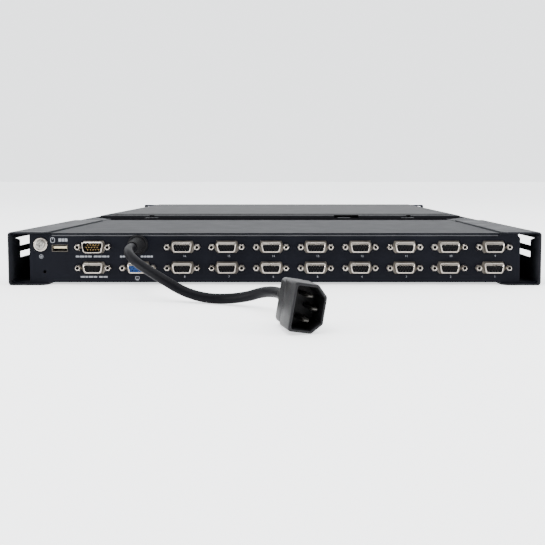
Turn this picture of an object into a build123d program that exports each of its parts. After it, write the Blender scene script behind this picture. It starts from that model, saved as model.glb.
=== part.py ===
"""Rack-mount console KVM switch: a 1U sliding drawer with a keyboard, a touchpad and a fold-up
screen, and a sixteen-port switch box with its power cord at the back.

Frame: millimetres, +Z up, the front (handle side) towards -Y, the rear ports towards +Y.
The origin is on the surface that the unit stands on, at the middle of the unit without its cord.
"""
import os
from math import cos, pi, radians, sin, tan

from build123d import *

os.makedirs("parts", exist_ok=True)

# ---------------------------------------------------------------- driving dimensions
REAR_Y = 345.0            # rear end of the frame, level with the faces of the jackscrews
FRONT_Y = -345.0          # front of the pull handle
BRACKET_X = 221.0         # half width over the rear brackets
BRACKET_WALL = 1.0
BRACKET_HIGH = 44.4
CHANNEL_X = BRACKET_X - BRACKET_WALL
CHANNEL_WALL = 1.2
CHANNEL_LOW = BRACKET_WALL
CHANNEL_HIGH = BRACKET_HIGH - BRACKET_WALL
CHANNEL_FRONT_Y = -309.2
FLANGE_X = 189.0          # inner edge of the channel and bracket flanges
WALL_X = CHANNEL_X - CHANNEL_WALL    # inner face of the side channel's wall

# rear switch box
BOX_X = 204.8             # half width
BOX_LOW = CHANNEL_LOW + CHANNEL_WALL
BOX_HIGH = CHANNEL_HIGH - CHANNEL_WALL
BOX_FRONT_Y = 110.0
PANEL_Y = 340.0           # outer face of the rear panel
PANEL_THICK = 1.2
SHEET = 1.0
PLATEAU_X = 187.5         # half width of the raised middle between the flanges
PLATEAU_LOW = 1.9
PLATEAU_HIGH = 43.3

# rear ports
PORT_PITCH = 37.08
PORT_X = 77.1             # the computer port column nearest to the cord
PORT_COLUMNS = 8
UPPER_Z = 31.6
LOWER_Z = 14.2
JACK_SPACING = 24.99      # standard D connector screw spacing
CONSOLE_X = PORT_X + PORT_PITCH
CHAIN_X = PORT_X + 2 * PORT_PITCH
USB_X, USB_Z = 179.4, 30.6
GROUND_X, GROUND_Z = 195.4, 33.7
RESET_X, RESET_Z = 192.4, 10.9
GLAND_X, GLAND_Z = CONSOLE_X, 33.4

# slides and drawer
TRAVEL = 400.0
SLIDE_LOW, SLIDE_HIGH = 4.0, 26.0
SLIDE_REAR_Y, SLIDE_FRONT_Y = 105.0, -299.0
TRAY_X = 205.0            # outer face of the drawer's side walls
TRAY_LOW = 2.7
TRAY_HIGH = 26.0
TRAY_REAR_Y = 64.0
TRAY_FRONT_Y = -302.0
BEZEL_FRONT_Y = -318.0
BEZEL_X = 217.0
BEZEL_HIGH = 27.6
DECK_TOP = 17.8
DECK_THICK = 1.8

# keyboard
KEY_PITCH = 19.05
KEY_GAP = 2.0
KEY_LOW, KEY_HIGH = 15.4, 22.6
KEY_TAPER = 12.0
KEYS_LEFT_X = -194.6
KEYS_FRONT_Y = -194.0
BLOCK_GAP = 4.0
KEY_ROWS = [              # main block, function row first; a negative width is a space
    [1, -1, 1, 1, 1, 1, -0.5, 1, 1, 1, 1, -0.5, 1, 1, 1, 1],
    [1] * 13 + [2],
    [1.5] + [1] * 12 + [1.5],
    [1.75] + [1] * 11,
    [2.25] + [1] * 10 + [1.75, 1],
    [1.25] * 3 + [-5.25] + [1] * 6,
]
ENTER_WIDTH = 2.25
SPACE_WIDTH = 5.25

# screen lid
LID_X = 217.3
LID_FRONT_Y, LID_REAR_Y = -314.0, 72.0
LID_LOW, LID_HIGH = 29.6, 44.3
LID_WALL = 1.6
LID_TOP = 1.4
SCREEN_Y = -128.0         # middle of the display
HINGE_Y, HINGE_Z = 66.0, 35.5
HINGE_X = (137.3, 147.3, 147.9, 157.9)    # lid knuckle, then drawer knuckle
BARREL_R = 3.8
PIN_R = 2.0
CABLE_X = (-95.0, -65.0)  # cable exit in the lid's rear edge
MENU_X = (120.0, 102.0)   # buttons on the screen's bezel

# 19-inch rack ears
EAR_X = 241.3
EAR_HIGH = 43.65
EAR_THICK = 1.8
SLOT_X = 465.1 / 2
SLOT_PITCH_Z = 31.75
SLOT_LONG, SLOT_WIDE = 10.0, 6.8

# power cord
CORD_D = 7.4
GLAND_LONG = 3.0
BOOT_LONG = 20.0
PLUG_ROLL = 10.0           # degrees, the top leaning towards -X
PLUG_TALL, PLUG_DEEP = 28.4, 20.4
PLUG_LONG = 33.0
PLUG_BOOT_LONG = 18.0
CORD_ROUTE = [            # from the gland's boot to the plug's strain relief
    (GLAND_X, PANEL_Y + GLAND_LONG + BOOT_LONG, GLAND_Z), (GLAND_X, 384, GLAND_Z),
    (102.2, 404.7, 26.1), (82.3, 418.6, 17), (56.3, 428, 3.8), (24, 438.5, 3.8), (-1.2, 460.4, 14.8),
    (-9.1, 486.2, 14.8),
]

pieces = []


# ---------------------------------------------------------------- helpers
def section(y):
    """Plane across the object at y, with local x along +X and local y along +Z."""
    return Plane.XZ.offset(-y)


def block(x, y, z, mode=Mode.ADD):
    """Box given by its two ends in x, y and z."""
    x, y, z = sorted(x), sorted(y), sorted(z)
    with Locations(((x[0] + x[1]) / 2, (y[0] + y[1]) / 2, (z[0] + z[1]) / 2)):
        Box(x[1] - x[0], y[1] - y[0], z[1] - z[0], mode=mode)


def span(middle, size):
    """Low and high ends of a length about its middle."""
    return middle - size / 2, middle + size / 2


def channel_profile(open_x, web_x, low, high, wall, bend):
    """Face of a bent channel: two flanges that end at open_x, and a web whose far face is web_x."""
    inner_web = web_x - wall if web_x > open_x else web_x + wall
    with BuildSketch() as profile:
        with BuildLine():
            outer = FilletPolyline(
                (open_x, low), (web_x, low), (web_x, high), (open_x, high), radius=bend
            )
            inner = FilletPolyline(
                (open_x, low + wall), (inner_web, low + wall),
                (inner_web, high - wall), (open_x, high - wall), radius=bend - wall
            )
            Line(outer @ 0, inner @ 0)
            Line(outer @ 1, inner @ 1)
        make_face()
    return profile.sketch


def mirrored(source, label):
    """The same piece on the other side of the middle plane."""
    with BuildPart() as copy:
        mirror(source.part, about=Plane.YZ)
    keep(copy, label)
    return copy


def keep(piece, label):
    piece.part.label = label
    pieces.append(piece)


def port_places(upper=True, lower=True):
    """Screw-hole centres' middle of every computer port, as points on the rear panel."""
    columns = [PORT_X - PORT_PITCH * i for i in range(PORT_COLUMNS)]
    heights = [UPPER_Z] * upper + [LOWER_Z] * lower
    return [(x, z) for z in heights for x in columns]


def jack_places(ports):
    return [(x + side * JACK_SPACING / 2, z) for x, z in ports for side in (-1, 1)]


SERVICE_PORT = (CHAIN_X, UPPER_Z)
CHAIN_PORT = (CHAIN_X, LOWER_Z)
CONSOLE_PORT = (CONSOLE_X, LOWER_Z)
FEMALE_PORTS = port_places() + [CHAIN_PORT, CONSOLE_PORT]
ALL_PORTS = FEMALE_PORTS + [SERVICE_PORT]


# ---------------------------------------------------------------- fixed frame
def build_frame():
    window_far_y = REAR_Y - 62
    window_near_y = REAR_Y - 25
    bracket_front_y = 167.0
    corner_cut = 4.0

    # rear bracket: bent sheet over the rear end of the side channel, with two windows
    with BuildPart() as rear_bracket_left:
        with BuildSketch(section(REAR_Y)):
            add(channel_profile(FLANGE_X, BRACKET_X, 0, BRACKET_HIGH, BRACKET_WALL, 2.6))
        extrude(amount=REAR_Y - bracket_front_y)
        flange_corners = rear_bracket_left.edges().filter_by(Axis.Z).group_by(Axis.X)[0]
        chamfer(flange_corners.group_by(Axis.Y)[-1], corner_cut)
        with BuildSketch(Plane.YZ.offset(CHANNEL_X - 1)):
            with BuildLine():
                Polyline(
                    (window_far_y, 31.0), (window_near_y, 31.0), (window_near_y, 36.2),
                    (REAR_Y - 15, 38.4), (window_far_y, 38.4), close=True
                )
            make_face()
            with BuildLine():
                Polyline(
                    (window_far_y, 20.8), (window_near_y, 20.8), (window_near_y, 26.0),
                    (window_far_y, 26.0), close=True
                )
            make_face()
        extrude(amount=3, mode=Mode.SUBTRACT)
        with BuildSketch(Plane.YZ.offset(CHANNEL_X - 1)):
            with Locations((225, 11), (225, 33)):
                SlotOverall(70, 4.6)
        extrude(amount=3, mode=Mode.SUBTRACT)
    keep(rear_bracket_left, "rear_bracket_left")
    mirrored(rear_bracket_left, "rear_bracket_right")

    # side channel: full-length bent sheet that carries the switch box and the drawer slide
    with BuildPart() as side_channel_left:
        with BuildSketch(section(PANEL_Y)):
            add(channel_profile(FLANGE_X, CHANNEL_X, CHANNEL_LOW, CHANNEL_HIGH, CHANNEL_WALL, 2.2))
        extrude(amount=PANEL_Y - CHANNEL_FRONT_Y)
        # the wall stops short of the windows of the rear bracket
        block((WALL_X - 6, CHANNEL_X + 1), (window_far_y - 4, PANEL_Y + 1), (3.4, 41.0), Mode.SUBTRACT)
        # the top flange ends in a long bevel ahead of the switch box
        with BuildSketch(Plane.XY.offset(CHANNEL_HIGH - 6)):
            with BuildLine():
                Polyline(
                    (FLANGE_X - 1, 137), (WALL_X, 90), (WALL_X, CHANNEL_FRONT_Y - 1),
                    (FLANGE_X - 1, CHANNEL_FRONT_Y - 1), close=True
                )
            make_face()
        extrude(amount=7, mode=Mode.SUBTRACT)
        # keeper hole for the drawer's release catch
        block((WALL_X - 1, CHANNEL_X + 1), (-307.2, -302.8), (13.4, 21.6), Mode.SUBTRACT)
        # screw holes under the slots of the rear bracket
        with Locations(Plane.YZ.offset(WALL_X - 1)):
            with Locations((205, 11), (245, 11), (205, 33), (245, 33)):
                Cylinder(1.7, 6, mode=Mode.SUBTRACT)
    keep(side_channel_left, "side_channel_left")
    mirrored(side_channel_left, "side_channel_right")

    # rack ear: angle plate on the front end of the channel, with two slots
    with BuildPart() as front_ear_left:
        block((CHANNEL_X, CHANNEL_X + 1.5), (-240, CHANNEL_FRONT_Y), (3, 41))
        block((CHANNEL_X, EAR_X), (CHANNEL_FRONT_Y - EAR_THICK, CHANNEL_FRONT_Y), (0, EAR_HIGH))
        ear_corners = front_ear_left.edges().filter_by(Axis.Y).group_by(Axis.X)[-1]
        fillet(ear_corners, 2.0)
        with BuildSketch(section(CHANNEL_FRONT_Y + 1)):
            for side in (-1, 1):
                with Locations((SLOT_X, EAR_HIGH / 2 + side * SLOT_PITCH_Z / 2)):
                    SlotOverall(SLOT_LONG, SLOT_WIDE)
        extrude(amount=5, mode=Mode.SUBTRACT)
        block((CHANNEL_X - 1, CHANNEL_X + 3), (-307.2, -302.8), (13.4, 21.6), Mode.SUBTRACT)
    keep(front_ear_left, "front_ear_left")
    mirrored(front_ear_left, "front_ear_right")

    # pan-head screws that hold the brackets to the channels
    with BuildPart() as bracket_screws:
        for side in (-1, 1):
            for y, z in ((205, 11), (245, 11), (205, 33), (245, 33)):
                with Locations(Location((side * (BRACKET_X + 0.8), y, z), (0, 90, 0))):
                    Cylinder(3.8, 1.6)
                with Locations(Location((side * (BRACKET_X - 1.6), y, z), (0, 90, 0))):
                    Cylinder(1.6, 3.2)
    keep(bracket_screws, "bracket_screws")


# ---------------------------------------------------------------- drawer slides
def build_slides():
    with BuildPart() as slide_outer_left:
        with BuildSketch(section(SLIDE_REAR_Y)):
            add(channel_profile(209.6, WALL_X, SLIDE_LOW, SLIDE_HIGH, 1.2, 1.9))
        extrude(amount=SLIDE_REAR_Y - SLIDE_FRONT_Y)
    keep(slide_outer_left, "slide_outer_left")
    mirrored(slide_outer_left, "slide_outer_right")

    with BuildPart() as slide_middle_left:
        with BuildSketch(section(SLIDE_REAR_Y - 3)):
            add(channel_profile(208.8, 216.6, SLIDE_LOW + 2.2, SLIDE_HIGH - 2.2, 1.1, 1.7))
        extrude(amount=SLIDE_REAR_Y - SLIDE_FRONT_Y - 6)
    keep(slide_middle_left, "slide_middle_left")
    mirrored(slide_middle_left, "slide_middle_right")

    with BuildPart() as slide_inner_left:
        with BuildSketch(section(TRAY_REAR_Y - 2)):
            add(channel_profile(214.4, TRAY_X, SLIDE_LOW + 4.4, SLIDE_HIGH - 4.4, 1.1, 1.7))
        extrude(amount=TRAY_REAR_Y - 2 - SLIDE_FRONT_Y - 3)
    keep(slide_inner_left, "slide_inner_left")
    mirrored(slide_inner_left, "slide_inner_right")


# ---------------------------------------------------------------- switch box
def panel_opening():
    """Six-sided opening in the rear panel that leaves a connector's plated face clear."""
    with BuildSketch() as opening:
        with BuildLine():
            Polyline(
                (-8.7, 5.3), (8.7, 5.3), (10.7, -1.4), (7.8, -5.3), (-7.8, -5.3), (-10.7, -1.4),
                close=True
            )
        make_face()
        fillet(opening.vertices(), 0.8)
    return opening.sketch


def d_face(width, height, radius):
    """D connector outline: the lower side is narrower, with ten-degree flanks."""
    slope = height * tan(radians(10))
    with BuildSketch() as face:
        with BuildLine():
            Polyline(
                (-width / 2, height / 2), (width / 2, height / 2),
                (width / 2 - slope, -height / 2), (-width / 2 + slope, -height / 2), close=True
            )
        make_face()
        fillet(face.vertices(), radius)
    return face.sketch


def build_box():
    inner_low = BOX_LOW + SHEET
    inner_high = BOX_HIGH - SHEET
    inner_rear = PANEL_Y - PANEL_THICK

    # pan: floor with a raised middle, side walls and front wall
    with BuildPart() as switch_case_base:
        block((-BOX_X, BOX_X), (BOX_FRONT_Y + 2, inner_rear), (BOX_LOW, BOX_HIGH - SHEET))
        block(
            (-BOX_X + SHEET, BOX_X - SHEET), (BOX_FRONT_Y + 2 + SHEET, inner_rear + 1),
            (inner_low, BOX_HIGH), Mode.SUBTRACT
        )
        block((-PLATEAU_X, PLATEAU_X), (BOX_FRONT_Y + 2, inner_rear), (PLATEAU_LOW, inner_low))
        block(
            (-PLATEAU_X + SHEET, PLATEAU_X - SHEET), (BOX_FRONT_Y + 4, inner_rear + 1),
            (PLATEAU_LOW + SHEET, inner_low + 0.01), Mode.SUBTRACT
        )
        # cable outlet in the front wall
        block(CABLE_X, (BOX_FRONT_Y, BOX_FRONT_Y + 6), (8, 20), Mode.SUBTRACT)
        # air slots in both side walls
        with Locations(*[(0, y, 24) for y in range(140, 300, 12)]):
            Box(2 * BOX_X + 2, 4, 18, mode=Mode.SUBTRACT)
        # notch in one rear top corner, behind the cut corner of the panel
        block((-BOX_X - 1, -BOX_X + 3), (PANEL_Y - 14, PANEL_Y + 1), (BOX_HIGH - 3, 50), Mode.SUBTRACT)
    keep(switch_case_base, "switch_case_base")

    # cover: flat under the flanges and raised between them, with a rear lip over the panel
    with BuildPart() as switch_top_cover:
        block((-BOX_X, BOX_X), (BOX_FRONT_Y, PANEL_Y - PANEL_THICK), (inner_high, BOX_HIGH))
        block((-PLATEAU_X, PLATEAU_X), (BOX_FRONT_Y, inner_rear), (inner_high, PLATEAU_HIGH))
        block(
            (-PLATEAU_X + SHEET, PLATEAU_X - SHEET), (BOX_FRONT_Y + SHEET, PANEL_Y),
            (inner_high - 0.01, PLATEAU_HIGH - SHEET), Mode.SUBTRACT
        )
        block((-PLATEAU_X, PLATEAU_X), (inner_rear, PANEL_Y + 0.6), (PLATEAU_HIGH - SHEET, PLATEAU_HIGH))
        # the far corner is cut back on one side
        block((-BOX_X - 1, -BOX_X + 3), (PANEL_Y - 30, PANEL_Y + 2), (30, 50), Mode.SUBTRACT)
        # low tabs along the front edge
        for x in (147, -74, -147):
            block((x - 7, x + 7), (BOX_FRONT_Y - 2, BOX_FRONT_Y + 6), (PLATEAU_HIGH, PLATEAU_HIGH + 0.6))
    keep(switch_top_cover, "switch_top_cover")

    # rear panel with every connector opening
    with BuildPart() as rear_panel:
        with BuildSketch(section(PANEL_Y)) as outline:
            with BuildLine():
                Polyline(
                    (-BOX_X, BOX_LOW), (-PLATEAU_X, BOX_LOW), (-PLATEAU_X, PLATEAU_LOW),
                    (PLATEAU_X, PLATEAU_LOW), (PLATEAU_X, BOX_LOW), (BOX_X, BOX_LOW),
                    (BOX_X, BOX_HIGH), (PLATEAU_X - SHEET, BOX_HIGH), (-BOX_X + 3, BOX_HIGH),
                    (-BOX_X, BOX_HIGH - 3), close=True
                )
            make_face()
            with Locations(*ALL_PORTS):
                add(panel_opening(), mode=Mode.SUBTRACT)
            with Locations(*jack_places(ALL_PORTS)):
                Circle(1.6, mode=Mode.SUBTRACT)
            with Locations((USB_X, USB_Z)):
                Rectangle(13.4, 6.0, mode=Mode.SUBTRACT)
            with Locations((RESET_X, RESET_Z)):
                Circle(1.3, mode=Mode.SUBTRACT)
            with Locations((GROUND_X, GROUND_Z)):
                Circle(2.1, mode=Mode.SUBTRACT)
            with Locations((GLAND_X, GLAND_Z)):
                Circle(6.0, mode=Mode.SUBTRACT)
        extrude(amount=PANEL_THICK)
    keep(rear_panel, "rear_panel")

    # circuit boards and what stands on them
    with BuildPart() as main_board:
        block((-196, 196), (200, 322), (6.4, 8.0))
        block((-150, -110), (230, 268), (8.0, 10.6))
        block((-60, -26), (230, 264), (8.0, 10.4))
        block((30, 62), (232, 262), (8.0, 10.4))
        for i in range(8):
            middle = PORT_X - PORT_PITCH * i
            block(span(middle, 10), (284, 302), (8.0, 9.8))
    keep(main_board, "main_board")

    with BuildPart() as power_supply_board:
        block((80, 196), (122, 192), (6.4, 8.0))
        block((96, 128), (134, 162), (8.0, 30.0))
        for x in (140, 156, 172):
            with Locations((x, 146, 19)):
                Cylinder(6.5, 22)
        block((140, 184), (168, 173), (8.0, 32.0))
    keep(power_supply_board, "power_supply_board")

    with BuildPart() as board_spacers:
        for x, y in ((-180, 210), (180, 210), (-180, 300), (180, 300), (0, 210), (0, 300)):
            with Locations((x, y, (PLATEAU_LOW + SHEET + 6.4) / 2)):
                Cylinder(3.0, 6.4 - PLATEAU_LOW - SHEET)
        for x, y in ((86, 128), (182, 128), (86, 186), (182, 186)):
            with Locations((x, y, (PLATEAU_LOW + SHEET + 6.4) / 2)):
                Cylinder(2.6, 6.4 - PLATEAU_LOW - SHEET)
    keep(board_spacers, "board_spacers")


# ---------------------------------------------------------------- connectors
def build_connectors():
    flange_y = PANEL_Y - PANEL_THICK
    shell_face_y = REAR_Y - 0.4
    shell_long = shell_face_y - flange_y
    female = d_face(16.6, 8.2, 1.7)
    female_inside = d_face(15.8, 7.4, 1.3)
    male = d_face(18.0, 9.2, 2.2)
    male_inside = d_face(17.2, 8.4, 1.8)
    pin_grid = [
        (column * 2.29 + (0.57 if row == 0 else -0.57), row * 1.98)
        for row in (-1, 0, 1) for column in (-2, -1, 0, 1, 2)
    ]

    # plated shell and flange of each female port
    with BuildPart() as port_shells:
        with BuildSketch(section(flange_y)):
            with Locations(*FEMALE_PORTS):
                RectangleRounded(30.8, 12.4, 1.5)
                add(female_inside, mode=Mode.SUBTRACT)
            with Locations(*jack_places(FEMALE_PORTS)):
                Circle(1.7, mode=Mode.SUBTRACT)
        extrude(amount=0.8)
        with BuildSketch(section(shell_face_y)):
            with Locations(*FEMALE_PORTS):
                add(female)
                add(female_inside, mode=Mode.SUBTRACT)
        extrude(amount=shell_long)
    keep(port_shells, "port_shells")

    # moulded inserts: a face with fifteen contact holes and a solid back
    def inserts(ports, label, base_ports=()):
        with BuildPart() as piece:
            with BuildSketch(section(shell_face_y - 0.5)):
                with Locations(*ports):
                    add(female_inside)
                holes = [(x + dx, z + dz) for x, z in ports for dx, dz in pin_grid]
                with Locations(*holes):
                    Circle(0.55, mode=Mode.SUBTRACT)
            extrude(amount=3.0)
            with BuildSketch(section(shell_face_y - 3.5)):
                with Locations(*ports):
                    add(female_inside)
            extrude(amount=shell_face_y - 3.5 - (flange_y - 0.8))
            for port in base_ports:
                with BuildSketch(section(flange_y + 0.4)):
                    with Locations(port):
                        add(male_inside)
                extrude(amount=1.2)
        keep(piece, label)

    inserts([p for p in FEMALE_PORTS if p != CONSOLE_PORT], "port_inserts", [SERVICE_PORT])
    inserts([CONSOLE_PORT], "console_port_insert")

    # male service port: open shell with fifteen pins on a moulded base
    with BuildPart() as service_port_shell:
        with BuildSketch(section(flange_y)):
            with Locations(SERVICE_PORT):
                RectangleRounded(30.8, 12.4, 1.5)
                add(male_inside, mode=Mode.SUBTRACT)
            with Locations(*jack_places([SERVICE_PORT])):
                Circle(1.7, mode=Mode.SUBTRACT)
        extrude(amount=0.8)
        with BuildSketch(section(shell_face_y)):
            with Locations(SERVICE_PORT):
                add(male)
                add(male_inside, mode=Mode.SUBTRACT)
        extrude(amount=shell_long)
    keep(service_port_shell, "service_port_shell")

    with BuildPart() as service_port_pins:
        with BuildSketch(section(shell_face_y - 0.9)):
            with Locations(*[(SERVICE_PORT[0] + dx, SERVICE_PORT[1] + dz) for dx, dz in pin_grid]):
                Circle(0.4)
        extrude(amount=shell_face_y - 0.9 - (flange_y + 0.4))
    keep(service_port_pins, "service_port_pins")

    # moulded bodies behind the panel, one for each column
    with BuildPart() as port_housings:
        for i in range(PORT_COLUMNS):
            block(span(PORT_X - PORT_PITCH * i, 30.4), (323, flange_y - 0.8), (8.0, 37.6))
        block(span(CHAIN_X, 30.4), (323, flange_y - 0.8), (8.0, 37.6))
        block(span(CONSOLE_X, 30.4), (323, flange_y - 0.8), (8.0, 20.4))
        with Locations(*[(x, flange_y, z) for x, z in jack_places(ALL_PORTS)]):
            Box(4, 12, 4, mode=Mode.SUBTRACT)
    keep(port_housings, "port_housings")

    # jackscrews: threaded round posts with a short stud through panel and flange
    with BuildPart() as jackscrews:
        with BuildSketch(section(REAR_Y)):
            with Locations(*jack_places(ALL_PORTS)):
                Circle(2.5)
                Circle(1.25, mode=Mode.SUBTRACT)
        extrude(amount=3.6)
        with BuildSketch(section(REAR_Y - 3.6)):
            with Locations(*jack_places(ALL_PORTS)):
                Circle(2.5)
        extrude(amount=REAR_Y - 3.6 - PANEL_Y)
        with BuildSketch(section(PANEL_Y)):
            with Locations(*jack_places(ALL_PORTS)):
                Circle(1.3)
        extrude(amount=5)
    keep(jackscrews, "jackscrews")

    # USB socket
    with BuildPart() as usb_shell:
        block(span(USB_X, 13.1), (PANEL_Y - 14, PANEL_Y + 0.4), span(USB_Z, 5.7))
        block(span(USB_X, 12.5), (PANEL_Y - 13.5, PANEL_Y + 1), span(USB_Z, 5.1), Mode.SUBTRACT)
    keep(usb_shell, "usb_shell")
    with BuildPart() as usb_tongue:
        block(span(USB_X, 11.1), (PANEL_Y - 13.5, PANEL_Y - 0.8), span(USB_Z + 0.6, 1.84))
    keep(usb_tongue, "usb_tongue")

    # ground terminal: plain washer under a cross-recess screw
    with BuildPart() as ground_washer:
        with BuildSketch(section(PANEL_Y + 0.9)):
            with Locations((GROUND_X, GROUND_Z)):
                Circle(5.8)
                Circle(2.2, mode=Mode.SUBTRACT)
        extrude(amount=0.9)
    keep(ground_washer, "ground_washer")
    with BuildPart() as ground_screw:
        with BuildSketch(section(PANEL_Y + 3.3)):
            with Locations((GROUND_X, GROUND_Z)):
                Circle(4.0)
        extrude(amount=2.4)
        fillet(ground_screw.edges().group_by(Axis.Y)[-1], 1.2)
        with BuildSketch(section(PANEL_Y + 4)):
            with Locations((GROUND_X, GROUND_Z)):
                Rectangle(4.4, 1.0)
                Rectangle(1.0, 4.4)
        extrude(amount=2.2, mode=Mode.SUBTRACT)
        with BuildSketch(section(PANEL_Y + 0.9)):
            with Locations((GROUND_X, GROUND_Z)):
                Circle(1.9)
        extrude(amount=7)
    keep(ground_screw, "ground_screw")


# ---------------------------------------------------------------- drawer
def key_rectangles():
    """Middle and size of every key cap but the enter key and the space bar."""
    keys = []
    main_wide = 15 * KEY_PITCH
    nav_x = KEYS_LEFT_X + main_wide + BLOCK_GAP
    pad_x = nav_x + KEY_PITCH + BLOCK_GAP

    def add_key(left, row, wide, rows=1):
        middle_y = KEYS_FRONT_Y + (5 - row + rows / 2) * KEY_PITCH
        size = (wide * KEY_PITCH - KEY_GAP, rows * KEY_PITCH - KEY_GAP)
        keys.append((left + wide * KEY_PITCH / 2, middle_y, *size))

    for row, widths in enumerate(KEY_ROWS):
        left = KEYS_LEFT_X
        for wide in widths:
            if wide > 0:
                add_key(left, row, wide)
            left += abs(wide) * KEY_PITCH
        add_key(nav_x, row, 1)
    for row, widths in enumerate(([1, 1, 1, 1], [1, 1, 1, 1], [1, 1, 1], [1, 1, 1], [1, 1, 1], [2, 1])):
        left = pad_x
        for wide in widths:
            add_key(left, row, wide)
            left += wide * KEY_PITCH
    add_key(pad_x + 3 * KEY_PITCH, 3, 1, rows=2)
    add_key(pad_x + 3 * KEY_PITCH, 5, 1, rows=2)
    return keys


def build_keys(places, label):
    """Key caps of one node: tapered blocks with rounded corners."""
    with BuildPart() as caps:
        with BuildSketch(Plane.XY.offset(KEY_LOW)):
            for x, y, wide, deep in places:
                with Locations((x, y)):
                    RectangleRounded(wide, deep, 1.2)
        extrude(amount=KEY_HIGH - KEY_LOW, taper=KEY_TAPER)
    keep(caps, label)


ENTER_PLACE = (
    KEYS_LEFT_X + (15 - ENTER_WIDTH / 2) * KEY_PITCH, KEYS_FRONT_Y + 2.5 * KEY_PITCH,
    ENTER_WIDTH * KEY_PITCH - KEY_GAP, KEY_PITCH - KEY_GAP,
)
SPACE_PLACE = (
    KEYS_LEFT_X + (3.75 + SPACE_WIDTH / 2) * KEY_PITCH, KEYS_FRONT_Y + 0.5 * KEY_PITCH,
    SPACE_WIDTH * KEY_PITCH - KEY_GAP, KEY_PITCH - KEY_GAP,
)
KEYS_DEEP = 6 * KEY_PITCH
KEYS_Y = KEYS_FRONT_Y + KEYS_DEEP / 2
MAIN_BLOCK = (KEYS_LEFT_X, KEYS_LEFT_X + 15 * KEY_PITCH)
NAV_BLOCK = (MAIN_BLOCK[1] + BLOCK_GAP, MAIN_BLOCK[1] + BLOCK_GAP + KEY_PITCH)
PAD_BLOCK = (NAV_BLOCK[1] + BLOCK_GAP, NAV_BLOCK[1] + BLOCK_GAP + 4 * KEY_PITCH)
TOUCH_X = -50.0
TOUCH_Y = -240.0
TOUCH_WIDE, TOUCH_DEEP = 66.0, 46.0
CLICK_Y = -275.0
CLICK_WIDE, CLICK_DEEP = 31.0, 13.0
CLICK_X = (TOUCH_X - 17.2, TOUCH_X + 17.2)
SELECT_X = (-184.0, -166.0)
SELECT_Y = 30.0


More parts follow.
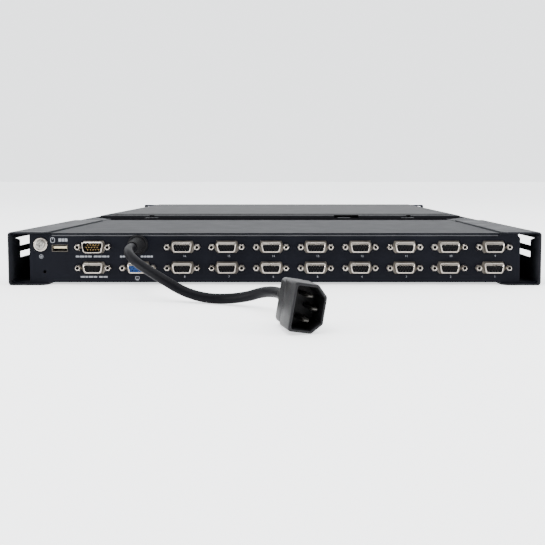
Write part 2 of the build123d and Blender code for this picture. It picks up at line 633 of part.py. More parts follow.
def build_drawer():
    deck_x = TRAY_X - 1.7
    # tray: folded pan with front and rear walls
    with BuildPart() as drawer_tray:
        block((-TRAY_X, TRAY_X), (TRAY_FRONT_Y, TRAY_REAR_Y), (TRAY_LOW, TRAY_HIGH))
        block(
            (-TRAY_X + 1.2, TRAY_X - 1.2), (TRAY_FRONT_Y + 1.2, TRAY_REAR_Y - 1.2),
            (TRAY_LOW + 1.2, TRAY_HIGH + 1), Mode.SUBTRACT
        )
        block(CABLE_X, (TRAY_REAR_Y - 3, TRAY_REAR_Y + 1), (8, 20), Mode.SUBTRACT)
    keep(drawer_tray, "drawer_tray")

    # keyboard deck: moulded top plate on ribs, open over the keys, the pad and the buttons
    with BuildPart() as keyboard_deck:
        deck_y = (TRAY_FRONT_Y + 1.6, TRAY_REAR_Y - 1.6)
        block((-deck_x, deck_x), deck_y, (DECK_TOP - DECK_THICK, DECK_TOP))
        for left, right in (MAIN_BLOCK, NAV_BLOCK, PAD_BLOCK):
            with Locations(((left + right) / 2, KEYS_Y, DECK_TOP)):
                Box(right - left - 0.4, KEYS_DEEP - 0.4, 6, mode=Mode.SUBTRACT)
        with Locations((TOUCH_X, TOUCH_Y, DECK_TOP)):
            Box(TOUCH_WIDE, TOUCH_DEEP, 6, mode=Mode.SUBTRACT)
        with Locations((TOUCH_X, CLICK_Y, DECK_TOP)):
            Box(2 * CLICK_WIDE + 5.0, CLICK_DEEP + 1.2, 6, mode=Mode.SUBTRACT)
        for x in SELECT_X:
            with Locations((x, SELECT_Y, DECK_TOP)):
                Box(13.2, 7.2, 6, mode=Mode.SUBTRACT)
        for y in (deck_y[0] + 1, -205, -66, deck_y[1] - 1):
            block((-deck_x, deck_x), span(y, 2), (TRAY_LOW + 1.2, DECK_TOP - DECK_THICK))
        block((CABLE_X[0] - 2, CABLE_X[1] + 2), (TRAY_REAR_Y - 5, TRAY_REAR_Y), (7, 21), Mode.SUBTRACT)
    keep(keyboard_deck, "keyboard_deck")

    with BuildPart() as keyboard_board:
        block((KEYS_LEFT_X + 1, PAD_BLOCK[1] - 1), span(KEYS_Y, KEYS_DEEP - 2), (8.0, 9.6))
        block((KEYS_LEFT_X + 2, PAD_BLOCK[1] - 2), span(KEYS_Y, KEYS_DEEP - 4), (9.6, 11.0))
    keep(keyboard_board, "keyboard_board")

    build_keys(key_rectangles(), "key_caps")
    build_keys([ENTER_PLACE], "enter_key")
    build_keys([SPACE_PLACE], "space_bar")

    # touchpad on its own small board, with two click buttons in front of it
    with BuildPart() as touchpad:
        with BuildSketch(Plane.XY.offset(14.6)):
            with Locations((TOUCH_X, TOUCH_Y)):
                RectangleRounded(TOUCH_WIDE - 0.6, TOUCH_DEEP - 0.6, 2)
        extrude(amount=2.6)
    keep(touchpad, "touchpad")
    for x, label in zip(CLICK_X, ("touchpad_button_left", "touchpad_button_right")):
        with BuildPart() as click_button:
            with BuildSketch(Plane.XY.offset(12.0)):
                with Locations((x, CLICK_Y)):
                    RectangleRounded(CLICK_WIDE, CLICK_DEEP, 1.6)
            extrude(amount=6.4)
            fillet(click_button.edges().group_by(Axis.Z)[-1], 0.6)
        keep(click_button, label)
    for x, label in zip(SELECT_X, ("port_up_button", "port_down_button")):
        with BuildPart() as select_button:
            with BuildSketch(Plane.XY.offset(12.0)):
                with Locations((x, SELECT_Y)):
                    RectangleRounded(12.4, 6.4, 1.6)
            extrude(amount=7.2)
            fillet(select_button.edges().group_by(Axis.Z)[-1], 0.5)
        keep(select_button, label)

    # front bezel: open-backed moulding with slots for the release catches
    with BuildPart() as front_bezel:
        block((-BEZEL_X, BEZEL_X), (BEZEL_FRONT_Y, TRAY_FRONT_Y), (TRAY_LOW, BEZEL_HIGH))
        front_edges = front_bezel.edges().filter_by(Axis.X).group_by(Axis.Y)[0]
        fillet(front_edges, 1.6)
        block(
            (-BEZEL_X + 1.5, BEZEL_X - 1.5), (BEZEL_FRONT_Y + 2, TRAY_FRONT_Y + 1),
            (TRAY_LOW + 1.5, BEZEL_HIGH - 1.6), Mode.SUBTRACT
        )
        for side in (-1, 1):
            with Locations((side * 135.5, BEZEL_FRONT_Y, 17.5)):
                Box(22, 8, 5, mode=Mode.SUBTRACT)
            with Locations((side * BEZEL_X, -305, 17.5)):
                Box(5, 4.6, 7.6, mode=Mode.SUBTRACT)
        # posts that carry the handle
        for side in (-1, 1):
            block(span(side * 56, 10), (BEZEL_FRONT_Y + 2, TRAY_FRONT_Y), (9, 21))
    keep(front_bezel, "front_bezel")

    # pull handle: bar on two posts
    with BuildPart() as drawer_handle:
        block((-61, 61), (FRONT_Y, FRONT_Y + 8), (9, 21))
        fillet(drawer_handle.edges().filter_by(Axis.X), 3.0)
        for side in (-1, 1):
            block(span(side * 56, 10), (FRONT_Y + 4, BEZEL_FRONT_Y), (9, 21))
    keep(drawer_handle, "drawer_handle")

    # release catch: finger tab, stem through the bezel, and an arm that ends at the channel's wall
    with BuildPart() as release_catch_left:
        block((128, 148), (-322.6, -318.4), (12.5, 22.5))
        fillet(release_catch_left.edges().filter_by(Axis.Z).group_by(Axis.Y)[0], 1.2)
        block((131, 145), (-318.4, -306), (15.6, 19.4))
        block((131, WALL_X - 0.4), (-306.4, -303.6), (14.6, 20.4))
        for x in (132, 135, 138, 141, 144):
            with Locations((x, -322.6, 17.5)):
                Box(1, 1.2, 12, mode=Mode.SUBTRACT)
    keep(release_catch_left, "release_catch_left")
    mirrored(release_catch_left, "release_catch_right")

    # hinge brackets on the tray's rear wall, each ending in a knuckle
    with BuildPart() as hinge_brackets:
        for side in (-1, 1):
            knuckle = (side * HINGE_X[2], side * HINGE_X[3])
            knuckle = (min(knuckle), max(knuckle))
            middle = sum(knuckle) / 2
            block(knuckle, (TRAY_REAR_Y, TRAY_REAR_Y + 4), (6, HINGE_Z))
            with Locations(Location((middle, HINGE_Y, HINGE_Z), (0, 90, 0))):
                Cylinder(BARREL_R, knuckle[1] - knuckle[0])
                Cylinder(PIN_R, knuckle[1] - knuckle[0] + 1, mode=Mode.SUBTRACT)
    keep(hinge_brackets, "hinge_brackets")
    with BuildPart() as hinge_pins:
        for side in (-1, 1):
            with Locations(Location((side * 147.6, HINGE_Y, HINGE_Z), (0, 90, 0))):
                Cylinder(PIN_R, 21.4)
    keep(hinge_pins, "hinge_pins")

    # folded ribbon cable between the switch box and the drawer
    folds = 9
    fold_low, fold_high = 6.5, 22.5
    start_y, end_y = TRAY_REAR_Y + 0.6, BOX_FRONT_Y + 1.4
    step = (end_y - start_y) / (folds + 1)
    points = [(start_y, 14)]
    for i in range(folds):
        points.append((start_y + (i + 1) * step, fold_high if i % 2 else fold_low))
    points.append((end_y, 14))
    with BuildPart() as drawer_ribbon:
        with BuildSketch(Plane.YZ.offset(-92)):
            with BuildLine() as path:
                FilletPolyline(*points, radius=1.2)
            trace(path.line, line_width=0.8)
        extrude(amount=24)
    keep(drawer_ribbon, "drawer_ribbon")


# ---------------------------------------------------------------- screen lid
def build_lid():
    screen_x, screen_deep = 188.2, 301.0
    notch = (HINGE_X[0] - 0.9, HINGE_X[3] + 0.9)
    menu_y = 42.0

    # outer shell, open below
    with BuildPart() as lid_shell:
        block((-LID_X, LID_X), (LID_FRONT_Y, LID_REAR_Y), (LID_LOW, LID_HIGH))
        fillet(lid_shell.edges().filter_by(Axis.Z), 3.5)
        fillet(lid_shell.edges().group_by(Axis.Z)[-1], 1.2)
        block(
            (-LID_X + LID_WALL, LID_X - LID_WALL), (LID_FRONT_Y + LID_WALL, LID_REAR_Y - LID_WALL),
            (LID_LOW - 1, LID_HIGH - LID_TOP), Mode.SUBTRACT
        )
        for side in (-1, 1):
            with Locations((side * sum(notch) / 2, LID_REAR_Y, LID_LOW + 5.4)):
                Box(notch[1] - notch[0], 28, 12.8, mode=Mode.SUBTRACT)
            # small notch through the top, over the drawer's knuckle
            with Locations((side * 155, LID_REAR_Y - 3, LID_HIGH)):
                Box(6, 10, 8, mode=Mode.SUBTRACT)
        block(CABLE_X, (LID_REAR_Y - 14, LID_REAR_Y + 1), (LID_LOW - 1, LID_HIGH + 1), Mode.SUBTRACT)
    keep(lid_shell, "lid_shell")

    # bezel round the screen, with openings for the menu buttons
    with BuildPart() as lid_bezel:
        bezel_y = (LID_FRONT_Y + LID_WALL + 0.2, 55.0)
        block((-LID_X + LID_WALL + 0.2, LID_X - LID_WALL - 0.2), bezel_y, (LID_LOW, LID_LOW + 1.8))
        with Locations((0, SCREEN_Y, LID_LOW)):
            Box(2 * screen_x, screen_deep, 8, mode=Mode.SUBTRACT)
        for x in MENU_X:
            with Locations((x, menu_y, LID_LOW)):
                Box(11.0, 5.8, 8, mode=Mode.SUBTRACT)
    keep(lid_bezel, "lid_bezel")

    with BuildPart() as lcd_panel:
        block((-198, 198), span(SCREEN_Y, 324), (LID_LOW + 2.0, 40.8))
    keep(lcd_panel, "lcd_panel")
    with BuildPart() as lcd_board:
        block((-120, 60), (-180, -90), (41.0, 42.4))
    keep(lcd_board, "lcd_board")
    for x, label in zip(MENU_X, ("menu_button", "screen_power_button")):
        with BuildPart() as menu_button:
            with BuildSketch(Plane.XY.offset(LID_LOW - 0.8)):
                with Locations((x, menu_y)):
                    RectangleRounded(10.2, 5.0, 1.2)
            extrude(amount=4.0)
            fillet(menu_button.edges().group_by(Axis.Z)[0], 0.4)
        keep(menu_button, label)

    # lid half of the hinge: knuckle, web and a leaf under the shell's top
    with BuildPart() as lid_hinge_leaves:
        for side in (-1, 1):
            ends = (side * HINGE_X[0], side * HINGE_X[1])
            ends = (min(ends), max(ends))
            block(ends, (36, HINGE_Y + 2), (LID_HIGH - LID_TOP - 2.0, LID_HIGH - LID_TOP))
            block(ends, (HINGE_Y - 3, HINGE_Y + 2), (HINGE_Z, LID_HIGH - LID_TOP))
            with Locations(Location((sum(ends) / 2, HINGE_Y, HINGE_Z), (0, 90, 0))):
                Cylinder(BARREL_R, ends[1] - ends[0])
                Cylinder(PIN_R + 0.08, ends[1] - ends[0] + 1, mode=Mode.SUBTRACT)
    keep(lid_hinge_leaves, "lid_hinge_leaves")



# ---------------------------------------------------------------- power cord
def plug_profile(tall, deep, cut, radius):
    """Three-pin inlet outline: both corners on the earth side are cut off."""
    with BuildSketch() as profile:
        with BuildLine():
            Polyline(
                (-deep / 2, -tall / 2), (deep / 2 - cut, -tall / 2), (deep / 2, -tall / 2 + cut),
                (deep / 2, tall / 2 - cut), (deep / 2 - cut, tall / 2), (-deep / 2, tall / 2),
                close=True
            )
        make_face()
        fillet(profile.vertices(), radius)
    return profile.sketch


def build_cord():
    with BuildPart() as cord_gland:
        with BuildSketch(section(PANEL_Y + GLAND_LONG)):
            with Locations((GLAND_X, GLAND_Z)):
                Circle(8.4)
        extrude(amount=GLAND_LONG)
        fillet(cord_gland.edges().group_by(Axis.Y)[-1], 1.4)
        with BuildSketch(section(PANEL_Y)):
            with Locations((GLAND_X, GLAND_Z)):
                Circle(5.8)
        extrude(amount=9)
    keep(cord_gland, "cord_gland")

    with BuildPart() as cord_boot:
        with BuildSketch(section(PANEL_Y + GLAND_LONG + BOOT_LONG)):
            with Locations((GLAND_X, GLAND_Z)):
                Circle(4.7)
        with BuildSketch(section(PANEL_Y + GLAND_LONG)):
            with Locations((GLAND_X, GLAND_Z)):
                Circle(6.6)
        loft()
    keep(cord_boot, "cord_boot")

    # the cord: straight runs joined by tangent arcs
    points = [Vector(*p) for p in CORD_ROUTE]
    runs = [b - a for a, b in zip(points, points[1:])]
    radii = []
    for before, after in zip(runs, runs[1:]):
        shorter = min(before.length, after.length)
        radii.append(0.45 * shorter / tan(radians(before.get_angle(after)) / 2))
    print("cord runs", [round(run.length, 1) for run in runs])
    print("cord radii", [round(radius, 1) for radius in radii])
    with BuildPart() as power_cord:
        with BuildLine() as route:
            FilletPolyline(*points, radius=radii)
        with BuildSketch(Plane(origin=points[0], z_dir=runs[0])):
            Circle(CORD_D / 2)
        sweep(path=route.line)
    length = route.wires()[0].length
    section_area = pi * CORD_D ** 2 / 4
    print("cord length", round(length, 1))
    print("cord volume ratio", round(power_cord.part.volume / (section_area * length), 4))
    keep(power_cord, "power_cord")

    # plug: local x points to the earth side, local y up the plug, local z out of its open face
    roll = radians(PLUG_ROLL)
    out = runs[-1].normalized()
    across = out.cross(Vector(0, 0, -1))
    earth_side = across * cos(roll) - Vector(0, 0, 1) * sin(roll)
    end = points[-1]

    def plug_plane(distance):
        return Plane(origin=end + out * distance, x_dir=earth_side, z_dir=out)

    back = PLUG_BOOT_LONG
    shroud = 17.0
    with BuildPart() as plug_body:
        with BuildSketch(plug_plane(back)):
            add(plug_profile(PLUG_TALL - 1.6, PLUG_DEEP - 1.6, 5.6, 2.0))
        extrude(amount=PLUG_LONG - shroud - 1)
        with BuildSketch(plug_plane(back + PLUG_LONG - shroud - 1)):
            add(plug_profile(PLUG_TALL, PLUG_DEEP, 6.2, 1.6))
        extrude(amount=shroud + 1)
        with BuildSketch(plug_plane(back + PLUG_LONG - shroud)):
            add(plug_profile(PLUG_TALL - 3.6, PLUG_DEEP - 3.6, 5.4, 0.8))
        extrude(amount=shroud + 1, mode=Mode.SUBTRACT)
        with BuildSketch(plug_plane(0)):
            Circle(4.6)
        with BuildSketch(plug_plane(back)):
            Circle(6.6)
        loft()
    keep(plug_body, "plug_body")

    with BuildPart() as plug_pins:
        with BuildSketch(plug_plane(back + PLUG_LONG - shroud)):
            with Locations((0.0, 7.0), (0.0, -7.0), (4.0, 0.0)):
                Rectangle(4.0, 2.0)
        extrude(amount=shroud - 1.0)
    keep(plug_pins, "plug_pins")


build_frame()
build_slides()
build_box()
build_connectors()
build_drawer()
build_lid()
build_cord()
for piece in pieces:
    export_step(piece.part, f"parts/{piece.part.label}.step")
print(len(pieces), "parts")
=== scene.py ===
"""Looks of the rack console KVM switch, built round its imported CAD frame.

The frame is in metres, with +Y to the rear ports and +Z up. Shapes are drawn in millimetres.
"""
from math import cos, pi, radians, sin, tan

import bmesh
import bpy
from mathutils import Matrix, Vector


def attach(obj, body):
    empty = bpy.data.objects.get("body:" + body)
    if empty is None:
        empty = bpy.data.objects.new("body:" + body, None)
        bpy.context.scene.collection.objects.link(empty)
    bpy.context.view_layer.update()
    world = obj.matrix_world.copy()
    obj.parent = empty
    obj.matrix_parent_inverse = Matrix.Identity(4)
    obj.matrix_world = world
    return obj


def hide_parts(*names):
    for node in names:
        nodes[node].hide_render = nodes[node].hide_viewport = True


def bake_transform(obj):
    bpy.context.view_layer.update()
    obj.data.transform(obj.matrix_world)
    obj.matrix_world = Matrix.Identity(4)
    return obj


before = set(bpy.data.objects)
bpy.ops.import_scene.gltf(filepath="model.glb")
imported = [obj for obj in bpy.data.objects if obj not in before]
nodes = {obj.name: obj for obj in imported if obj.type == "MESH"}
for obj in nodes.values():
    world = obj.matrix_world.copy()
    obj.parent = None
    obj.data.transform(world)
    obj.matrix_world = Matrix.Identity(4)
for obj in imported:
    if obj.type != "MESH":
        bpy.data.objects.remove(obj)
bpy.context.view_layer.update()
MM = 0.001


# ---------------------------------------------------------------- materials
def material(name, color, rough=0.45, metal=0.0, vary=0.12, grain=900.0, bump=0.04, coat=0.0,
             edge=0.0004, worn=None, scratches=0.0, spec=0.5, uneven=0.065):
    """Procedural surface: blotchy colour, uneven roughness, fine grain, soft edges and optional edge wear.

    worn is the colour of rubbed edges, and scratches the strength of long fine lines across the object.
    """
    mat = bpy.data.materials.new(name)
    mat.use_nodes = True
    tree = mat.node_tree
    new, link = tree.nodes.new, tree.links.new
    shader = tree.nodes["Principled BSDF"]
    shader.inputs["Metallic"].default_value = metal
    shader.inputs["Specular IOR Level"].default_value = spec
    shader.inputs["Coat Weight"].default_value = coat
    shader.inputs["Coat Roughness"].default_value = 0.25
    place = new("ShaderNodeTexCoord")

    def noise(scale, detail=3.0):
        node = new("ShaderNodeTexNoise")
        node.inputs["Scale"].default_value = scale
        node.inputs["Detail"].default_value = detail
        link(place.outputs["Object"], node.inputs["Vector"])
        return node.outputs["Fac"]

    def ramp(value, low, high):
        node = new("ShaderNodeMapRange")
        node.inputs["From Min"].default_value = 0.3
        node.inputs["From Max"].default_value = 0.7
        node.inputs["To Min"].default_value = low
        node.inputs["To Max"].default_value = high
        link(value, node.inputs["Value"])
        return node.outputs["Result"]

    def mix(fac, first, second):
        node = new("ShaderNodeMix")
        node.data_type = "RGBA"
        if hasattr(fac, "is_linked"):
            link(fac, node.inputs["Factor"])
        for value, socket in ((first, node.inputs[6]), (second, node.inputs[7])):
            if hasattr(value, "is_linked"):
                link(value, socket)
            else:
                socket.default_value = (*value, 1)
        return node.outputs[2]

    dark = [c * (1 - vary) for c in color]
    light = [min(1, c * (1 + vary)) for c in color]
    base = mix(ramp(noise(28), 0, 1), dark, light)
    fine = noise(grain, 2.0)
    rough_out = ramp(noise(60, 4.0), rough - uneven, rough + uneven)
    bevel = new("ShaderNodeBevel")
    bevel.samples = 3
    bevel.inputs["Radius"].default_value = edge
    if worn:
        geometry = new("ShaderNodeNewGeometry")
        dot = new("ShaderNodeVectorMath")
        dot.operation = "DOT_PRODUCT"
        link(bevel.outputs["Normal"], dot.inputs[0])
        link(geometry.outputs["Normal"], dot.inputs[1])
        rub = new("ShaderNodeMapRange")
        rub.inputs["From Min"].default_value = 0.985
        rub.inputs["From Max"].default_value = 0.9
        rub.inputs["To Max"].default_value = 0.55
        link(dot.outputs["Value"], rub.inputs["Value"])
        patchy = new("ShaderNodeMath")
        patchy.operation = "MULTIPLY"
        link(rub.outputs["Result"], patchy.inputs[0])
        link(ramp(noise(240), 0, 1), patchy.inputs[1])
        base = mix(patchy.outputs["Value"], base, worn)
    link(base, shader.inputs["Base Color"])
    link(rough_out, shader.inputs["Roughness"])
    bumps = new("ShaderNodeBump")
    bumps.inputs["Strength"].default_value = bump
    bumps.inputs["Distance"].default_value = 0.0002
    height = fine
    if scratches:
        stretch = new("ShaderNodeMapping")
        stretch.inputs["Scale"].default_value = (40, 1, 1500)
        link(place.outputs["Object"], stretch.inputs["Vector"])
        lines = new("ShaderNodeTexNoise")
        lines.inputs["Scale"].default_value = 1.0
        link(stretch.outputs["Vector"], lines.inputs["Vector"])
        both = new("ShaderNodeMath")
        both.operation = "MULTIPLY_ADD"
        link(lines.outputs["Fac"], both.inputs[0])
        both.inputs[1].default_value = scratches
        link(fine, both.inputs[2])
        height = both.outputs["Value"]
    link(height, bumps.inputs["Height"])
    link(bevel.outputs["Normal"], bumps.inputs["Normal"])
    link(bumps.outputs["Normal"], shader.inputs["Normal"])
    return mat


SHEET = material("black_powder_coat", (0.004, 0.0045, 0.0072), 0.53, grain=1500, bump=0.2, spec=0.055,
                 worn=(0.035, 0.035, 0.04), uneven=0.02)
BRACKET = material("bracket_coat", (0.013, 0.0135, 0.0165), 0.52, grain=1500, bump=0.2, spec=0.1,
                   worn=(0.04, 0.04, 0.045))
LID = material("black_satin_paint", (0.006, 0.0062, 0.008), 0.54, grain=1100, bump=0.16, spec=0.1,
               worn=(0.035, 0.035, 0.04), uneven=0.02)
ZINC = material("zinc_slide_steel", (0.55, 0.56, 0.58), 0.34, metal=1.0, scratches=0.5, bump=0.1)
NICKEL = material("nickel_plate", (0.52, 0.475, 0.425), 0.27, metal=1.0, vary=0.16, bump=0.06, edge=0.00015)
# darker copy of the nickel: painted shade on the port shells' outer walls and on the usb shell
NICKEL_SHADE = material("nickel_painted_shade", (0.12, 0.107, 0.092), 0.5, metal=0.5, vary=0.2, bump=0.08, edge=0.0002)
SCREW = material("zinc_screw", (0.3, 0.29, 0.27), 0.38, metal=1.0, vary=0.2, bump=0.1, scratches=0.5)
PLASTIC = material("black_moulding", (0.004, 0.004, 0.0046), 0.48, grain=2200, bump=0.12, spec=0.06)
DECK = material("textured_deck", (0.014, 0.014, 0.0165), 0.55, grain=1900, bump=0.4, spec=0.2)
KEYS = material("key_plastic", (0.009, 0.009, 0.0105), 0.5, grain=2600, bump=0.3, spec=0.25)
BLUE = material("console_blue", (0.004, 0.03, 0.12), 0.45, grain=1500, spec=0.2)
CREAM = material("cream_tongue", (0.72, 0.62, 0.4), 0.45, grain=1500)
GREY = material("grey_moulding", (0.19, 0.195, 0.2), 0.5, grain=2200, bump=0.2)
BOARD = material("green_board", (0.012, 0.09, 0.035), 0.35, vary=0.25, grain=700, bump=0.3)
SCREEN = material("screen_glass", (0.006, 0.007, 0.010), 0.14, vary=0.05, bump=0.0, spec=0.2)
GOLD = material("gold_pins", (0.3, 0.2, 0.08), 0.4, metal=1.0)
CORD = material("cord_jacket", (0.0035, 0.0035, 0.0045), 0.42, grain=1700, bump=0.12, spec=0.03)
# near-black thread in the jackscrew holes: painted shade inside the holes
THREAD_SHADE = material("thread_painted_shade", (0.003, 0.003, 0.003), 0.6, bump=0.0, spec=0.1)
# lighter, coated copy of the panel's black for the hem: painted highlight along its bend
HEM = material("hem_highlight", (0.02, 0.021, 0.026), 0.38, grain=1500, bump=0.15, coat=0.2)
PRINT = material("white_print", (0.22, 0.228, 0.25), 0.6, grain=2500, bump=0.1, vary=0.2)
PLUG = material("plug_moulding", (0.0055, 0.0055, 0.006), 0.34, grain=2600, bump=0.2, spec=0.1)
# lighter copy of the plug's black for the shroud's rim: painted highlight
RIM_HIGHLIGHT = material("plug_rim_painted_highlight", (0.012, 0.012, 0.0132), 0.42, grain=2600, bump=0.2, spec=0.12)
# near-black metal for the plug blades: painted shade inside the shroud
SHADED_PIN = material("plug_blade_painted_shade", (0.07, 0.067, 0.062), 0.5, metal=1.0, scratches=0.4)
# matte black: the keyboard board's own colour, and painted shade on the band at the cover's front edge
MATTE = material("matte_black_foam_and_painted_shade", (0.004, 0.004, 0.0045), 0.9, grain=1400, bump=0.5, spec=0.0)
STRIP = material("hinge_cover_strip", (0.006, 0.006, 0.007), 0.75, grain=1800, bump=0.3, spec=0.05)
RIBBON = material("ribbon_grey", (0.28, 0.29, 0.31), 0.5, vary=0.1, grain=1200)

FINISH = {
    SHEET: ["side_channel_left", "side_channel_right", "front_ear_left", "front_ear_right",
            "switch_case_base", "switch_top_cover", "rear_panel", "drawer_tray"],
    BRACKET: ["rear_bracket_left", "rear_bracket_right"],
    LID: ["lid_shell"],
    ZINC: ["slide_outer_left", "slide_outer_right", "slide_middle_left", "slide_middle_right",
           "slide_inner_left", "slide_inner_right", "hinge_brackets", "lid_hinge_leaves"],
    NICKEL: ["bracket_screws", "jackscrews", "port_shells", "service_port_shell", "ground_washer",
             "hinge_pins"],
    NICKEL_SHADE: ["usb_shell"],
    SCREW: ["ground_screw"],
    SHADED_PIN: ["plug_pins"],
    PLASTIC: ["port_inserts", "port_housings", "cord_gland", "cord_boot", "plug_body", "front_bezel",
              "drawer_handle", "lid_bezel"],
    DECK: ["keyboard_deck"],
    KEYS: ["key_caps", "enter_key", "space_bar"],
    BLUE: ["console_port_insert"],
    CREAM: ["usb_tongue"],
    GREY: ["touchpad", "touchpad_button_left", "touchpad_button_right", "port_up_button",
           "port_down_button", "release_catch_left", "release_catch_right", "menu_button",
           "screen_power_button"],
    BOARD: ["main_board", "power_supply_board", "lcd_board"],
    MATTE: ["keyboard_board"],
    GOLD: ["board_spacers", "service_port_pins"],
    SCREEN: ["lcd_panel"],
    RIBBON: ["drawer_ribbon"],
    CORD: ["power_cord"],
}
for mat, names in FINISH.items():
    for name in names:
        nodes[name].data.materials.clear()
        nodes[name].data.materials.append(mat)


def piece(name, mesh, mat, body, stands_for=(), smooth=True):
    """New object in the shared frame. It rides on body, unless that is None, and may stand for CAD nodes."""
    obj = bpy.data.objects.new(name, mesh)
    bpy.context.scene.collection.objects.link(obj)
    for each in mat if isinstance(mat, list) else [mat]:
        mesh.materials.append(each)
    if smooth:
        mesh.shade_smooth()
    if body:
        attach(obj, body)
    if stands_for:
        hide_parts(*stands_for)
    return obj


# ---------------------------------------------------------------- mesh helpers (sizes in mm)
def rounded(points, radius, steps=5):
    """Closed 2D outline with rounded corners, from its corner points in order."""
    outline = []
    count = len(points)
    for i, point in enumerate(points):
        corner = Vector(point)
        before = (Vector(points[i - 1]) - corner).normalized()
        after = (Vector(points[(i + 1) % count]) - corner).normalized()
        half = before.angle(after) / 2
        reach = radius / tan(half)
        middle = corner + (before + after).normalized() * radius / sin(half)
        start = corner + before * reach - middle
        sweep = start.angle_signed(corner + after * reach - middle)
        for k in range(steps + 1):
            turn = Matrix.Rotation(-sweep * k / steps, 2)
            outline.append(middle + turn @ start)
    return outline


def box_outline(wide, deep, radius, steps=5):
    """Rectangle with rounded corners, centred on the origin."""
    return rounded([(-wide / 2, -deep / 2), (wide / 2, -deep / 2), (wide / 2, deep / 2),
                    (-wide / 2, deep / 2)], radius, steps)


def circle(radius, count):
    return [Vector((radius * cos(2 * pi * i / count), radius * sin(2 * pi * i / count)))
            for i in range(count)]


def skin(bm, rings, cap_start=False, cap_end=False, slot=0):
    """Joins rings of equal length with quads, and caps the ends if asked."""
    loops = [[bm.verts.new(Vector(point) * MM) for point in ring] for ring in rings]
    for first, second in zip(loops, loops[1:]):
        for i in range(len(first)):
            j = (i + 1) % len(first)
            bm.faces.new((first[i], first[j], second[j], second[i])).material_index = slot
    if cap_start:
        bm.faces.new(loops[0][::-1]).material_index = slot
    if cap_end:
        bm.faces.new(loops[-1]).material_index = slot
    return loops


def rear(outline, x, y, z):
    """2D outline placed on a plane across the object, seen from the rear side."""
    return [(x + u, y, z + v) for u, v in outline]


def flat(outline, x, y, z):
    """2D outline placed on a level plane."""
    return [(x + u, y + v, z) for u, v in outline]


def finish_mesh(bm, name, angle=40):
    """Mesh with outward normals and smooth shading, but sharp where faces meet above angle in degrees."""
    bmesh.ops.recalc_face_normals(bm, faces=bm.faces)
    mesh = bpy.data.meshes.new(name)
    bm.to_mesh(mesh)
    bm.free()
    mesh.shade_smooth()
    mesh.set_sharp_from_angle(angle=radians(angle))
    return mesh


# ---------------------------------------------------------------- rear ports
PITCH, PORT_X, UPPER, LOWER = 37.08, 77.1, 31.6, 14.2
COLUMNS = [PORT_X - PITCH * i for i in range(8)]
CHAIN_X, CONSOLE_X = PORT_X + 2 * PITCH, PORT_X + PITCH
FEMALE = [(x, z) for z in (UPPER, LOWER) for x in COLUMNS] + [(CHAIN_X, LOWER), (CONSOLE_X, LOWER)]
ALL_PORTS = FEMALE + [(CHAIN_X, UPPER)]
PANEL_Y = 340.0
PORT_LEAN = radians(10)
# corners of the panel's opening for one port, about the port's middle
OPENING = [(-8.65, 5.25), (8.65, 5.25), (10.65, -1.4), (7.75, -5.25), (-7.75, -5.25), (-10.65, -1.4)]


def port_ring(wide, high, grow, radius, drop=0.0):
    """D outline with half sizes wide and high, moved out by grow.

    The sides lean inwards to the foot, and the top edge may drop.
    """
    lean = tan(PORT_LEAN)
    middle = wide - (high + 1.4) * lean + grow + 0.05
    foot = wide - 2 * high * lean + grow
    top = high + grow - drop
    return rounded([(-wide - grow, top), (wide + grow, top), (middle, -1.4),
                    (foot, -high - grow), (-foot, -high - grow), (-middle, -1.4)], radius)


# port shells: a flared root behind the panel and a rounded rim; the last port, a male one, has a wider rim.
# The root takes a darker copy of the nickel as painted shade on the outer wall.
# A ring of root or edge is (grow, y, corner radius, drop).
bm = bmesh.new()
for x, z in ALL_PORTS:
    male = (x, z) == ALL_PORTS[-1]
    wide, high, lip, fall = (9.0, 4.6, 0.4, 0.8) if male else (8.3, 4.1, 0.6, 1.9)
    root = [(1.15, 339.35, 1.9, 0), (0.6, 339.6, 2.0, 0), (0.3, 340.1, 2.0, 0), (0.14, 341.0, 2.0, 0),
            (0.05, 343.5, 1.8, 0), (-0.1 * lip, 343.8, 1.7, 0.1 * fall * lip),
            (-0.4 * lip, 344.4, 1.6, 0.45 * fall * lip)]
    edge = [root[-1], (-0.85 * lip, 344.82, 1.5, 0.9 * fall * lip), (-lip - 0.1, 344.88, 1.4, fall * lip),
            (-lip - 0.2, 344.75, 1.3, fall * lip), (-lip - 0.27, 343.9, 1.2, fall * lip)]
    skin(bm, [rear(rounded(OPENING, 0.8), x, 339.25, z)]
         + [rear(port_ring(wide, high, grow, r, drop), x, y, z) for grow, y, r, drop in root], slot=1)
    skin(bm, [rear(port_ring(wide, high, grow, r, drop), x, y, z) for grow, y, r, drop in edge])
piece("port_shell_skins", finish_mesh(bm, "port_shell_skins", 50), [NICKEL, NICKEL_SHADE], "frame")

# jackscrews: six-sided posts with a chamfered end and a threaded hole coloured near black, painted shade
# inside the hole
SCREW_X, HEX_REACH, POST_SIDES = 12.495, 2.41, 36
THREAD_TURNS, THREAD_PITCH = 7, 0.5


def post_ring(x, z, radius, y, hexed=0.0):
    """Ring round a jackscrew's axis, from round (hexed 0) to six-sided (hexed 1)."""
    points = []
    for k in range(POST_SIDES):
        angle = 2 * pi * k / POST_SIDES
        corner = HEX_REACH / cos((angle % (pi / 3)) - pi / 6) - HEX_REACH
        points.append((x + cos(angle) * (radius + corner * hexed),
                       y, z + sin(angle) * (radius + corner * hexed)))
    return points


